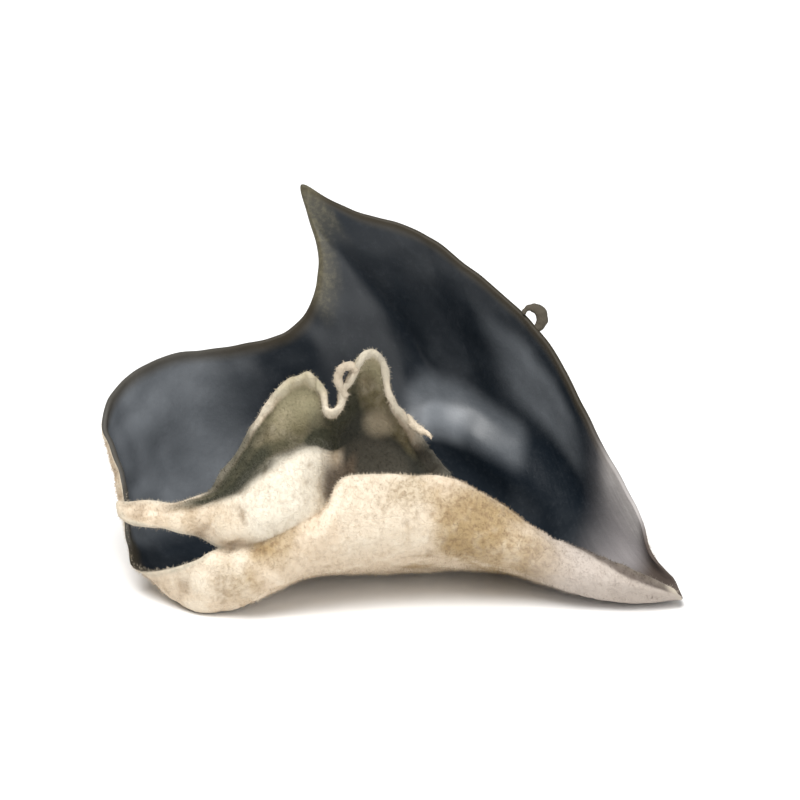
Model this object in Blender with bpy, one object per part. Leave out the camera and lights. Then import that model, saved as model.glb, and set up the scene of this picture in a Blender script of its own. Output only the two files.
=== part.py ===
"""Wood ear mushroom: the dried fruit body of one wood ear, as picked and dried.

It is one thin sheet that grew as one piece. It dried into a shallow bowl, with a high wall at the back
and a front margin that rolled up and in, with a two-lobed ruffle above the roll. The pointed tip is at +X,
the end where the margin is notched between two lips at -X, and the back wall at +Y. The scar where the ear
grew from the wood is on the outside of the wall, at its left end. The ear lies on the surface z = 0, on
flattened spots of its belly. Metres, +Z up, with the origin on that surface, under the middle of the ear.
"""

import math

import bmesh
import bpy
from mathutils import Vector

MM = 0.001

# Driving dimensions of the sheet
THICKNESS = 1.0 * MM           # in the middle of the sheet
MARGIN_THICKNESS = 0.7 * MM   # along the free margin
MARGIN_WIDTH = 5.0 * MM        # over which the sheet thins towards its margin

# The scar on the outside of the wall, where the ear grew from the wood
SCAR_PLACE = (-18.5 * MM, 17.0 * MM, 5.0 * MM)
SCAR_RADIUS = 5.5 * MM
SCAR_HEIGHT = 1.8 * MM
SCAR_FLAT_TOP = 0.375         # share of its radius that is flat

# The mesh: rows in the span that ends at each station, closest at the cleft beside the ruffle, and
# columns in the span that ends at each line
ROWS = {3: 10, 5: 12, 8: 11, 15: 22}
COLUMNS = {"wall": 5, "belly": 5, "under": 3, "roll_front": 3, "roll_top": 3, "crease": 3,
           "fold": 2, "ridge": 3, "valley": 2, "margin": 4}
LAST_STATION = max(ROWS)

# Shallow folds that fan out over the back wall and fade towards the floor of the bowl
FOLD_HEIGHT = 0.35 * MM
FOLD_STATIONS = 2.3

# The lines that shape the sheet, in millimetres. Each runs from the left end at station 0 to the tip at
# station 15, and gives the point that it passes at each station where it turns.
LINES = {
    # free margin along the top of the back wall
    "rim": {
        0: (-23.6, 6.8, 8.2), 1: (-25.3, 12, 13.0), 2: (-21, 18, 15.5), 3: (-13.5, 21.5, 15.6),
        4: (-8.3, 22.5, 17.6), 5: (-6.8, 24.3, 22.8), 6: (-7.9, 25.8, 28.1), 7: (-3.4, 25, 26.6),
        8: (2.7, 23, 25.1), 10: (12.4, 16.1, 18.3), 12: (18.6, 8.3, 9.2), 13: (20.7, 4.9, 6.0),
        14: (21.5, 2.8, 3.6), 15: (23.5, 1.5, 1.75)},
    # half way down the back wall
    "wall": {
        0: (-23.2, 5.2, 5.0), 1: (-22.6, 9.8, 5.0), 2: (-17.5, 15.8, 5.4), 3: (-10.0, 19.6, 6.0),
        4: (-3.0, 21.6, 7.4), 5: (0.6, 22.9, 9.4), 6: (3.0, 23.2, 10.8), 7: (5.0, 22.2, 10.8),
        8: (8.0, 20.2, 10.0), 10: (13.6, 14.2, 7.6), 12: (18.4, 7.2, 4.2), 14: (22.3, 2.3, 1.9),
        15: (23.8, 1.15, 1.15)},
    # where the back wall meets the floor of the bowl
    "belly": {
        0: (-22.6, 2.8, 2.6), 0.6: (-20.0, 4.4, 1.0), 1: (-18.0, 5.6, 0.8), 3: (-9.5, 12, 0.45),
        6: (1.0, 15.6, 0.4), 9: (9.0, 11.4, 0.4), 12: (16.2, 5.0, 0.5), 15: (24.0, 0.6, 0.75)},
    # front edge of the floor of the bowl
    "under": {
        0: (-21.0, 0.2, 2.8), 0.6: (-18.6, -1.2, 1.0), 1: (-15.8, -2.2, 0.6), 2: (-12, -1.0, 1.7),
        3: (-8, 0.8, 2.5), 6: (-1, 3, 2.2), 9: (8, 2.9, 2.4), 11: (13.5, 1.6, 1.4),
        13: (19.6, 0.6, 0.55), 15: (24.1, 0.0, 0.62)},
    # foremost line of the rolled front
    "roll_front": {
        0: (-19.1, -1.6, 3.8), 1: (-14.2, -3.6, 2.6), 3: (-7.5, -2.8, 4.8), 5: (-3.7, -2.4, 6.8),
        7: (1.5, -1.8, 7.2), 9: (8.3, -1.2, 5.6), 11: (13.8, -1.3, 2.8), 13: (19.7, -1.3, 1.0),
        15: (24.1, -0.55, 0.72)},
    # top of the rolled front
    "roll_top": {
        0: (-16.6, -2.4, 5.0), 1: (-13.2, -3.4, 4.8), 2: (-10.2, -3.2, 6.0), 3: (-7.0, -3.0, 7.4),
        4: (-5.5, -1.8, 9.3), 5: (-4.3, -0.4, 11.1), 7: (1.5, 0.3, 11.2), 8: (4.5, 0.4, 10.9),
        9: (8.2, 0.4, 8.5), 10: (11.5, -0.3, 5.9), 11: (14.2, -1.0, 4.0), 12: (17, -1.55, 2.8),
        13: (19.7, -1.9, 2.0), 15: (24.0, -0.95, 0.95)},
    # groove behind the roll: a cleft at station 4, a notch between two lips at the left end
    "crease": {
        0: (-15.0, -1.0, 5.5), 1: (-12.6, -1.9, 6.2), 2: (-9.8, -2.2, 7.4), 3: (-7.4, -1.4, 8.4),
        4: (-5.2, 2.8, 7.9), 5: (-3.4, 3.5, 8.5), 6: (-1, 3.5, 8.9), 7: (1.7, 2.6, 9.7),
        8: (4.7, 1.9, 10.0), 9: (8.4, 1.6, 8.3), 11: (14.1, -0.2, 4.5), 13: (19.7, -2.1, 2.5),
        15: (23.9, -1.15, 1.15)},
    # front of the upper fold, foot of the ruffle
    "fold": {
        0: (-18.4, -0.8, 7.0), 1: (-13.6, -2.4, 7.8), 2: (-10.2, -2.6, 9.2), 3: (-7.9, -1.2, 10.4),
        4: (-5.4, 4.4, 9.2), 5: (-3.3, 5.8, 9.6), 6: (-0.8, 5.6, 9.2), 7: (1.9, 4.4, 8.8),
        8: (4.9, 3.3, 9.0), 11: (14.1, 0.6, 4.75), 13: (19.7, -2.0, 2.85), 15: (23.8, -1.25, 1.3)},
    # top of the upper fold
    "ridge": {
        0: (-21.6, 0.4, 7.0), 1: (-14.6, -1.2, 9.4), 2: (-10.6, -1.2, 12.2), 3: (-8.0, 0.3, 13.2),
        4: (-5.6, 5.3, 11.6), 5: (-3.2, 7.0, 12.3), 6: (-0.6, 6.9, 11.0), 7: (2.1, 5.8, 8.6),
        8: (5.0, 4.6, 8.2), 11: (14.1, 1.5, 4.6), 13: (19.6, -1.8, 3.2), 15: (23.7, -1.32, 1.45)},
    # dip between the upper fold and the ruffle
    "valley": {
        0: (-23.4, 1.4, 7.2), 1: (-15.4, 0.8, 9.2), 2: (-11.4, 2.2, 12.6), 3: (-8.3, 3.6, 13.2),
        4: (-5.8, 5.2, 13.6), 5: (-3.2, 6.9, 15.8), 6: (-0.5, 7.1, 13.4), 7: (2.4, 6.9, 9.2),
        8: (5.1, 5.7, 7.8), 11: (14.1, 2.3, 4.2), 13: (19.5, -1.5, 3.45), 15: (23.6, -1.35, 1.6)},
    # free margin of the ruffle and of the rolled front
    "margin": {
        0: (-23.8, 2.4, 8.2), 1: (-16.4, 2.4, 8.7), 1.5: (-13.7, 3.7, 12.6), 2: (-11.9, 4.6, 16.2),
        2.5: (-10.2, 5.0, 18.3), 3: (-8.5, 5.1, 19.1), 4: (-6.5, 4.2, 16.6), 4.4: (-5.8, 4.5, 19.1),
        5: (-3.4, 4.7, 21.8), 5.5: (-1.4, 5.2, 20.3), 6: (-0.2, 6.0, 16.4), 6.5: (1.3, 7.2, 13.2),
        7: (2.8, 7.8, 10.0), 8: (5.2, 6.6, 7.5), 11: (14.1, 3.1, 3.7), 13: (19.4, -1.1, 3.6),
        15: (23.5, -1.35, 1.8)},
}


def clear_scene():
    """Start from an empty scene."""
    for thing in list(bpy.data.objects):
        bpy.data.objects.remove(thing, do_unlink=True)


def on_line(name, station):
    """The point of a shaping line at a station, on a smooth curve through the line's own points."""
    keys = sorted(LINES[name])
    points = [Vector(LINES[name][key]) * MM for key in keys]
    last = len(keys) - 1
    span = 0
    while span < last - 1 and keys[span + 1] <= station:
        span += 1

    def slope(at):
        before = max(at - 1, 0)
        after = min(at + 1, last)
        return (points[after] - points[before]) / (keys[after] - keys[before])

    length = keys[span + 1] - keys[span]
    t = (station - keys[span]) / length
    return (points[span] * (2 * t**3 - 3 * t**2 + 1)
            + slope(span) * length * (t**3 - 2 * t**2 + t)
            + points[span + 1] * (3 * t**2 - 2 * t**3)
            + slope(span + 1) * length * (t**3 - t**2))


def through(points, steps):
    """A smooth curve through the points, cut into the given number of steps between each two of them."""
    ends = [points[0] * 2 - points[1]] + points + [points[-1] * 2 - points[-2]]
    curve = []
    for span, count in enumerate(steps):
        a, b, c, d = ends[span:span + 4]
        knots = [0.0]
        for p, q in ((a, b), (b, c), (c, d)):
            knots.append(knots[-1] + (q - p).length ** 0.5)
        for step in range(count):
            t = knots[1] + (knots[2] - knots[1]) * step / count
            ab = a.lerp(b, t / knots[1])
            bc = b.lerp(c, (t - knots[1]) / (knots[2] - knots[1]))
            cd = c.lerp(d, (t - knots[2]) / (knots[3] - knots[2]))
            abc = ab.lerp(bc, t / knots[2])
            bcd = bc.lerp(cd, (t - knots[1]) / (knots[3] - knots[1]))
            curve.append(abc.lerp(bcd, (t - knots[1]) / (knots[2] - knots[1])))
    curve.append(points[-1])
    return curve


def stations():
    """The stations of the mesh's rows, from the left end to the tip."""
    places = []
    start = 0
    for end, count in ROWS.items():
        places += [start + (end - start) * step / count for step in range(count)]
        start = end
    return places + [LAST_STATION]


def section(station):
    """One row across the sheet: down the back wall, over the floor of the bowl and round the front."""
    points = [on_line(name, station) for name in LINES]
    return through(points, list(COLUMNS.values()))


def smooth_step(value):
    """0 below 0, 1 above 1, and smooth between."""
    value = min(max(value, 0), 1)
    return value * value * (3 - 2 * value)


def run_along(points):
    """The length of the path through the points."""
    return sum((q - p).length for p, q in zip(points, points[1:]))


def sheet_thickness(rows, i, j):
    """The thickness at a grid point: thin along the free margins."""
    column = [row[j] for row in rows]
    to_edge = min(run_along(column[:i + 1]), run_along(column[i:]),
                  run_along(rows[i][:j + 1]), run_along(rows[i][j:]))
    return MARGIN_THICKNESS + (THICKNESS - MARGIN_THICKNESS) * smooth_step(to_edge / MARGIN_WIDTH)


def sheet_normal(rows, i, j):
    """The direction out of the sheet at a grid point, towards its downy outer side."""
    total = Vector()
    for row in range(max(i - 1, 0), min(i + 2, len(rows))):
        for column in range(max(j - 1, 0), min(j + 2, len(rows[0]))):
            along = rows[min(row + 1, len(rows) - 1)][column] - rows[max(row - 1, 0)][column]
            across = rows[row][min(column + 1, len(rows[0]) - 1)] - rows[row][max(column - 1, 0)]
            total += along.cross(across).normalized()
    return total.normalized()


def wall_fold(station, column):
    """How far the wall bulges outwards at a grid point, in folds that are deepest along the rim."""
    up_the_wall = smooth_step(1 - column / (COLUMNS["wall"] + COLUMNS["belly"]))
    to_the_ends = math.sin(math.pi * station / LAST_STATION)
    wave = math.sin(2 * math.pi * station / FOLD_STATIONS + math.sin(station))
    return FOLD_HEIGHT * wave * up_the_wall * to_the_ends


def scar_height(point):
    """How far the scar stands out of the wall at a point: a low mound with a flat top."""
    from_middle = (point - Vector(SCAR_PLACE)).length / SCAR_RADIUS
    return SCAR_HEIGHT * smooth_step((1 - from_middle) / (1 - SCAR_FLAT_TOP))


def make_fruit_body():
    """The closed sheet: an outer and an inner skin on one grid, joined round the free edges."""
    places = stations()
    rows = [section(station) for station in places]
    columns = len(rows[0])
    mesh = bmesh.new()
    outer = []
    inner = []
    for i, row in enumerate(rows):
        outer.append([])
        inner.append([])
        for j, point in enumerate(row):
            normal = sheet_normal(rows, i, j)
            half = sheet_thickness(rows, i, j) / 2
            point = point + normal * wall_fold(places[i], j)
            outside = point + normal * (half + scar_height(point))
            outside.z = max(outside.z, 0)
            outer[i].append(mesh.verts.new(outside))
            inner[i].append(mesh.verts.new(point - normal * half))
    for i in range(len(rows) - 1):
        for j in range(columns - 1):
            mesh.faces.new((outer[i][j], outer[i + 1][j], outer[i + 1][j + 1], outer[i][j + 1]))
            mesh.faces.new((inner[i][j], inner[i][j + 1], inner[i + 1][j + 1], inner[i + 1][j]))
    for i in range(len(rows) - 1):
        mesh.faces.new((outer[i][0], inner[i][0], inner[i + 1][0], outer[i + 1][0]))
        mesh.faces.new((outer[i + 1][-1], inner[i + 1][-1], inner[i][-1], outer[i][-1]))
    for j in range(columns - 1):
        mesh.faces.new((outer[0][j + 1], inner[0][j + 1], inner[0][j], outer[0][j]))
        mesh.faces.new((outer[-1][j], inner[-1][j], inner[-1][j + 1], outer[-1][j + 1]))
    low = Vector([min(v.co[axis] for v in mesh.verts) for axis in range(3)])
    high = Vector([max(v.co[axis] for v in mesh.verts) for axis in range(3)])
    middle = (low + high) / 2
    bmesh.ops.translate(mesh, vec=(-middle.x, -middle.y, 0), verts=mesh.verts)
    data = bpy.data.meshes.new("fruit_body")
    mesh.to_mesh(data)
    mesh.free()
    data.shade_smooth()
    body = bpy.data.objects.new("fruit_body", data)
    bpy.context.scene.collection.objects.link(body)
    return body


def make_tissue():
    """Dry ear tissue: matt, between the tan of the downy side and the dark of the smooth side."""
    material = bpy.data.materials.new("dried_ear_tissue")
    material.use_nodes = True
    shader = material.node_tree.nodes["Principled BSDF"]
    shader.inputs["Base Color"].default_value = (0.30, 0.22, 0.14, 1)
    shader.inputs["Roughness"].default_value = 0.8
    shader.inputs["Metallic"].default_value = 0
    return material


clear_scene()
fruit_body = make_fruit_body()
fruit_body.data.materials.append(make_tissue())
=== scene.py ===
"""One dried wood ear, lying on a white table as it dried.

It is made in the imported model's frame: metres, +Z up, with the pointed tip at +X and the high wall at +Y.
"""

import math

import bpy
import numpy as np
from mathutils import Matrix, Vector, noise


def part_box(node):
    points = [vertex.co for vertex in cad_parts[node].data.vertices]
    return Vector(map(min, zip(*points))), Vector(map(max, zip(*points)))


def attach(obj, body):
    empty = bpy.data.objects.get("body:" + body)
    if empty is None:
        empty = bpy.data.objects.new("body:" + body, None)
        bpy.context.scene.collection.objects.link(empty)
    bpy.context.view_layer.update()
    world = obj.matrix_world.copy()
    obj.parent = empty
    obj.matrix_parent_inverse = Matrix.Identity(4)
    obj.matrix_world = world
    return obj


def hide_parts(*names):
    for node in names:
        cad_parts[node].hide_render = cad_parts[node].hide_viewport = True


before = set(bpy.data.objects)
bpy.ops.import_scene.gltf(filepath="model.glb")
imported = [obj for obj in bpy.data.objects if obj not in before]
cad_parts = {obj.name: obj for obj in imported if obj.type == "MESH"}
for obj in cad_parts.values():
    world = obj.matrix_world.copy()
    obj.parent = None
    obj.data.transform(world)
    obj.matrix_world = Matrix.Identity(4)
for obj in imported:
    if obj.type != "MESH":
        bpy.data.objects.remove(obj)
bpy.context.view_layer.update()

# ---------------------------------------------------------------------------------------------------------
# The sheet of the ear. It grew as one thin sheet of jelly-like tissue and dried stiff: it shrank into a bowl
# with a high wall at the back, a front margin that rolled up and in, and a two-lobed ruffle above the roll.
# It is 1 mm thick and thins to its margin. Outside it is downy and cream to tan, inside smooth and dark.

MM = 0.001
THICKNESS = 1.0               # millimetres, as every length in this section
MARGIN_THICKNESS = 0.5
MARGIN_WIDTH = 5.0            # over which the sheet thins towards its margin
LIP_BEAD = 0.05               # how much thicker each side of the ruffle is at its very margin
LIP_BEAD_WIDTH = 0.5
TIP_THINNING = 0.35           # how much thinner the sheet is towards the tip
EDGE_STEPS = 4                # steps round the rounded edge

# Rows of the mesh in the span that ends at each station, and columns in the span that ends at each line
ROWS = {3: 52, 5: 58, 8: 62, 15: 92}
EDGE_CROWDING = 1.25          # how the columns crowd towards the rim and the margin
COLUMNS = {"wall": 28, "belly": 24, "under": 14, "roll_front": 14, "roll_top": 14, "crease": 14,
           "fold": 10, "ridge": 14, "valley": 14, "margin": 24}

# The lines that shape the sheet, each from the left end at station 0 to the tip at station 15, with the
# point that it passes at each station where it turns
LINES = {
    # free margin along the top of the back wall
    "rim": {
        0: (-23.6, 6.8, 8.2), 1: (-25.3, 12, 13.0), 2: (-21, 18, 15.5), 3: (-13.5, 21.5, 15.6),
        4: (-8.3, 22.5, 17.6), 5: (-6.8, 24.3, 22.8), 6: (-7.9, 25.8, 28.1), 7: (-3.4, 25, 26.6),
        8: (2.7, 23, 25.1), 10: (12.4, 16.1, 18.3), 12: (18.6, 8.3, 9.2), 13: (20.7, 4.9, 6.0),
        14: (21.5, 2.8, 3.6), 15: (23.5, 1.5, 1.75)},
    # half way down the back wall
    "wall": {
        0: (-23.2, 5.2, 5.0), 1: (-22.6, 9.8, 5.0), 2: (-17.5, 15.8, 5.4), 3: (-10.0, 19.6, 6.0),
        4: (-3.0, 21.6, 7.4), 5: (0.6, 22.9, 9.4), 6: (3.0, 23.2, 10.8), 7: (5.0, 22.2, 10.8),
        8: (8.0, 20.2, 10.0), 10: (13.6, 14.2, 7.6), 12: (18.4, 7.2, 4.2), 14: (22.3, 2.3, 1.9),
        15: (23.8, 1.15, 1.15)},
    # where the back wall meets the floor of the bowl
    "belly": {
        0: (-22.6, 2.8, 2.6), 0.6: (-20.0, 4.4, 1.0), 1: (-18.0, 5.6, 0.8), 3: (-9.5, 12, 0.45),
        6: (1.0, 15.6, 0.4), 9: (9.0, 11.4, 0.4), 12: (16.2, 5.0, 0.5), 15: (24.0, 0.6, 0.75)},
    # front edge of the floor of the bowl
    "under": {
        0: (-21.0, 0.2, 2.8), 0.6: (-18.6, -1.2, 1.0), 1: (-15.8, -2.2, 0.6), 2: (-12, -1.0, 1.7),
        3: (-8, 0.8, 2.5), 6: (-1, 3, 2.2), 9: (8, 2.9, 2.4), 11: (13.5, 1.6, 1.4),
        13: (19.6, 0.6, 0.55), 15: (24.1, 0.0, 0.62)},
    # foremost line of the rolled front
    "roll_front": {
        0: (-19.1, -1.6, 3.8), 1: (-14.2, -3.6, 2.6), 3: (-7.5, -2.8, 4.8), 5: (-3.7, -2.4, 6.8),
        7: (1.5, -1.8, 7.2), 9: (8.3, -1.2, 5.6), 11: (13.8, -1.3, 2.8), 13: (19.7, -1.3, 1.0),
        15: (24.1, -0.55, 0.72)},
    # top of the rolled front
    "roll_top": {
        0: (-16.6, -2.4, 5.0), 1: (-13.2, -3.4, 4.8), 2: (-10.2, -3.2, 6.0), 3: (-7.0, -3.0, 7.4),
        4: (-5.5, -1.8, 9.3), 5: (-4.3, -0.4, 11.1), 7: (1.5, 0.3, 11.2), 8: (4.5, 0.4, 10.9),
        9: (8.2, 0.4, 8.5), 10: (11.5, -0.3, 5.9), 11: (14.2, -1.0, 4.0), 12: (17, -1.55, 2.8),
        13: (19.7, -1.9, 2.0), 15: (24.0, -0.95, 0.95)},
    # groove behind the roll: a cleft at station 4, a notch between two lips at the left end
    "crease": {
        0: (-15.0, -1.0, 5.5), 1: (-12.6, -1.9, 6.2), 2: (-9.8, -2.2, 7.4), 3: (-7.4, -1.4, 8.4),
        4: (-5.2, 2.8, 7.9), 5: (-3.4, 3.5, 8.5), 6: (-1, 3.5, 8.9), 7: (1.7, 2.6, 9.7),
        8: (4.7, 1.9, 10.0), 9: (8.4, 1.6, 8.3), 11: (14.1, -0.2, 4.5), 13: (19.7, -2.1, 2.5),
        15: (23.9, -1.15, 1.15)},
    # front of the upper fold, foot of the ruffle
    "fold": {
        0: (-18.4, -0.8, 7.0), 1: (-13.6, -2.4, 7.8), 2: (-10.2, -2.6, 9.2), 3: (-7.9, -1.2, 10.4),
        4: (-5.4, 4.4, 9.2), 5: (-3.3, 5.8, 9.6), 6: (-0.8, 5.6, 9.2), 7: (1.9, 4.4, 8.8),
        8: (4.9, 3.3, 9.0), 11: (14.1, 0.6, 4.75), 13: (19.7, -2.0, 2.85), 15: (23.8, -1.25, 1.3)},
    # top of the upper fold
    "ridge": {
        0: (-21.6, 0.4, 7.0), 1: (-14.6, -1.2, 9.4), 2: (-10.6, -1.2, 12.2), 3: (-8.0, 0.3, 13.2),
        4: (-5.6, 5.3, 11.6), 5: (-3.2, 7.0, 12.3), 6: (-0.6, 6.9, 11.0), 7: (2.1, 5.8, 8.6),
        8: (5.0, 4.6, 8.2), 11: (14.1, 1.5, 4.6), 13: (19.6, -1.8, 3.2), 15: (23.7, -1.32, 1.45)},
    # dip between the upper fold and the ruffle
    "valley": {
        0: (-23.4, 1.4, 7.2), 1: (-15.4, 0.8, 9.2), 2: (-11.4, 2.2, 12.6), 3: (-8.3, 3.6, 13.2),
        4: (-5.8, 5.2, 13.6), 5: (-3.2, 6.9, 15.8), 6: (-0.5, 7.1, 13.4), 7: (2.4, 6.9, 9.2),
        8: (5.1, 5.7, 7.8), 11: (14.1, 2.3, 4.2), 13: (19.5, -1.5, 3.45), 15: (23.6, -1.35, 1.6)},
    # free margin of the ruffle and of the rolled front
    "margin": {
        0: (-23.8, 2.4, 8.2), 1: (-16.4, 2.4, 8.7), 1.5: (-13.6, 3.7, 12.6), 2: (-11.3, 4.6, 16.2),
        2.5: (-9.4, 5.0, 18.2), 3: (-7.8, 5.1, 18.9), 3.5: (-6.5, 4.7, 17.7), 4: (-5.5, 4.2, 16.4),
        4.4: (-4.7, 4.5, 18.8), 5: (-2.9, 4.7, 21.5), 5.5: (-1.3, 5.2, 20.2), 6: (-0.2, 6.0, 16.4),
        6.5: (1.3, 7.2, 13.2), 7: (2.8, 7.8, 10.0), 8: (5.2, 6.6, 7.5), 11: (14.1, 3.1, 3.7),
        13: (19.4, -1.1, 3.6), 15: (23.5, -1.35, 1.8)},
}

# Unevenness of each kind: how high it stands, the size of its lumps and its seed
SWELLS = (0.30, 7.0, 3.1)             # slow swells of the whole sheet
WRINKLES = (0.10, 2.0, 11.7)          # fine wrinkles of the whole sheet
RUFFLE_WRINKLES = (0.32, 1.9, 4.4)    # deeper ones on the ruffle and at the left end
LIP_RIPPLES = (0.42, 1.5, 5.3)        # ripples that run in from the front margin
LIP_CREASES = (0.26, 0.6, 6.1)        # fine creases across it
RIM_RIPPLES = (0.10, 2.6, 7.9)        # weak ripples along the rim of the wall
LIP_RAGGED = (0.40, 1.1, 2.9)         # uneven line of the front margin
RIM_RAGGED = (0.16, 1.8, 8.9)         # uneven line of the rim
LIP_UNEVEN = (0.35, 1.3, 9.7)         # uneven thickness of the front margin, as a share of it
LIP_WRAP_UNEVEN = (0.5, 1.0, 4.9)     # uneven line where the downy side ends behind the front margin
DOWN_LUMPS = (0.06, 0.8, 21.3)        # lumps of the downy side
DOWN_GRAINS = (0.03, 0.4, 22.3)       # smaller ones on them

# How far in from the margin each of these reaches, and how many times longer ripples are that way than along
LIP_RIPPLE_REACH = 1.8
RIM_RIPPLE_REACH = 2.5
RAGGED_REACH = 1.2
LIP_UNEVEN_REACH = 1.5
RIPPLE_STRETCH = 3

# Where something begins along the sheet, by station, or across it, by line, and where it is complete
STIFF_TIP = (11.5, 14.0)              # the tip, which keeps its shape
THIN_TIP = (11.5, 13.5)               # its thinner sheet
LEFT_END = (2.5, 1.0)
RUFFLE_LINES = (7, 9)
RUFFLE_STATIONS = (9.5, 7.5)
CURLED_LEFT = (1.4, 2.4)              # the curled part of the front margin
CURLED_RIGHT = (9, 7)
WRAPPED_LINES = (9, 9.25)             # the part of it that the downy side wraps round
WRAPPED_STATIONS = (12, 10)
TIP_STIFFNESS = 0.9                   # how much of the unevenness the tip is spared

# The downy side goes this far round the front margin, and ends over this width
LIP_WRAP = 0.96
LIP_WRAP_EDGE = 0.6
EDGE_WRAP = 1.5                       # how much of the rounded edge goes with the side that wraps round it

# Folds that fan out over the wall: height, stations from one to the next, and reach below the rim
WALL_FOLDS = (0.14, 2.3, 20)

# The front margin curls out over its whole length, and more at a few places: by station, how far and how
# many stations wide
LIP_CURL = 0.36
LIP_CURL_WIDTH = 1.25
LIP_CURL_SHARPNESS = 1.5
LIP_CURLS = {3.6: (0.25, 0.30), 4.65: (0.40, 0.22), 5.3: (-0.30, 0.25), 6.75: (0.55, 0.25)}

# Dents in the front margin, by station: how far in and how many stations wide
LIP_DENTS = {4.45: (0.75, 0.16)}

# A long swelling across the wall, where the sheet turns up towards the light: height, station, how many
# stations wide, distance below the wall line, and width across it
SHELF = (-1.4, 7.7, 2.4, 3.2, 2.1)

# The thin point at the top of the rim: station, how many stations wide, length
RIM_POINT = (6.0, 0.30, 0.9)

# The place where the ear was attached: a low uneven boss that folds run in to, torn open on its top. Shares
# are of its radius
SCAR_PLACE = (-18.5, 17.0, 5.0)
SCAR_STRETCH = (0.75, 0.75, 1.15)
SCAR_RADIUS = 5.5
SCAR_HEIGHT = 1.6
SCAR_FLAT_TOP = 0.375                 # share
SCAR_UNEVEN = (0.55, 3.2, 13.8)       # uneven outline: share, size of lumps, seed
SCAR_FOLDS = (0.28, 7, 0.75, 0.32)    # height, number, share at which they are highest, and width
SCAR_WANDER = (1.0, 4.0, 17.2)        # how they wander: radians, size of lumps, seed
SCAR_TORN = (0.75, 1.0, 31.3)         # torn top: height, size of lumps, seed
SCAR_TORN_SHARES = (0.62, 0.37)       # where the tear begins and is complete
SCAR_SUNK = 0.225                     # how far the tear is sunk
SCAR_HEIGHTS = (0.6, 3.0)             # where it begins and is complete above the table

# No down this close to the table and to the rim, nor on the scar's top, round which it comes back steeply
BALD_HEIGHT = 0.7
BALD_RIM = 0.4
BALD_SCAR_STEEPNESS = 3

# Passes of smoothing over the sheet between its lines, over its relief, over the directions out of it, over
# the skin that its dimples are measured from, and over the sheet that shows where a skin folds over itself
LINE_SMOOTHING = 6
RELIEF_SMOOTHING = 2
FACING_SMOOTHING = 2
HOLLOW_SMOOTHING = 12
TANGLE_SMOOTHING = 4

HOLLOW_DEPTH = 0.06                   # depth of a dimple that counts as a full hollow
STEADY_EDGE = 3                       # rows or columns at an edge that face the way the next one in does
TANGLE_COSINE = 0.2                   # a quad is folded over below this cosine to the smooth sheet's normal
TANGLE_PASSES = 60                    # passes of smoothing round such quads


def row_stations():
    """The stations of the mesh's rows, from the left end to the tip."""
    spans = []
    start = 0
    for end, count in ROWS.items():
        spans.append(np.linspace(start, end, count, endpoint=False))
        start = end
    return np.append(np.concatenate(spans), start)


def along(line, stations):
    """The points of a shaping line at the stations, on a smooth curve through the line's own points."""
    keys = np.array(sorted(LINES[line]), float)
    points = np.array([LINES[line][key] for key in sorted(LINES[line])], float)
    before = np.maximum(np.arange(len(keys)) - 1, 0)
    after = np.minimum(np.arange(len(keys)) + 1, len(keys) - 1)
    slopes = (points[after] - points[before]) / (keys[after] - keys[before])[:, None]
    span = np.clip(np.searchsorted(keys, stations, side="right") - 1, 0, len(keys) - 2)
    length = (keys[span + 1] - keys[span])[:, None]
    t = (stations - keys[span])[:, None] / length
    return (points[span] * (2 * t**3 - 3 * t**2 + 1) + slopes[span] * length * (t**3 - 2 * t**2 + t)
            + points[span + 1] * (3 * t**2 - 2 * t**3) + slopes[span + 1] * length * (t**3 - t**2))


def shares(line, count):
    """How the columns share out their span: evenly, but closer towards the rim and the margin."""
    even = np.arange(count) / count
    if line == "wall":
        return even ** EDGE_CROWDING
    if line == "margin":
        return 1 - (1 - even) ** EDGE_CROWDING
    return even


def across(stops):
    """Every row's smooth curve through its points on the shaping lines, from the rim to the margin."""
    ends = np.concatenate([2 * stops[:, :1] - stops[:, 1:2], stops, 2 * stops[:, -1:] - stops[:, -2:-1]], 1)
    columns = []
    for span, (line, count) in enumerate(COLUMNS.items()):
        a, b, c, d = (ends[:, span + step] for step in range(4))
        at_b = np.linalg.norm(b - a, axis=1, keepdims=True) ** 0.5
        at_c = at_b + np.linalg.norm(c - b, axis=1, keepdims=True) ** 0.5
        at_d = at_c + np.linalg.norm(d - c, axis=1, keepdims=True) ** 0.5
        for share in shares(line, count):
            t = at_b + (at_c - at_b) * share
            ab = a + (b - a) * t / at_b
            bc = b + (c - b) * (t - at_b) / (at_c - at_b)
            cd = c + (d - c) * (t - at_c) / (at_d - at_c)
            abc = ab + (bc - ab) * t / at_c
            bcd = bc + (cd - bc) * (t - at_b) / (at_d - at_b)
            columns.append(abc + (bcd - abc) * (t - at_b) / (at_c - at_b))
    return np.stack(columns + [stops[:, -1]], axis=1)


def soften(grid, passes):
    """The grid with each point drawn towards its neighbours, and an edge's points along the edge only."""
    for _ in range(passes):
        smooth = grid.copy()
        smooth[1:-1, 1:-1] = grid[1:-1, 1:-1] / 2 + (grid[2:, 1:-1] + grid[:-2, 1:-1]
                                                     + grid[1:-1, 2:] + grid[1:-1, :-2]) / 8
        for edge in (0, -1):
            smooth[1:-1, edge] = grid[1:-1, edge] / 2 + (grid[2:, edge] + grid[:-2, edge]) / 4
            smooth[edge, 1:-1] = grid[edge, 1:-1] / 2 + (grid[edge, 2:] + grid[edge, :-2]) / 4
        grid = smooth
    return grid


def unit(vectors):
    """The vectors' directions, each of length 1."""
    return vectors / np.linalg.norm(vectors, axis=-1, keepdims=True)


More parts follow.
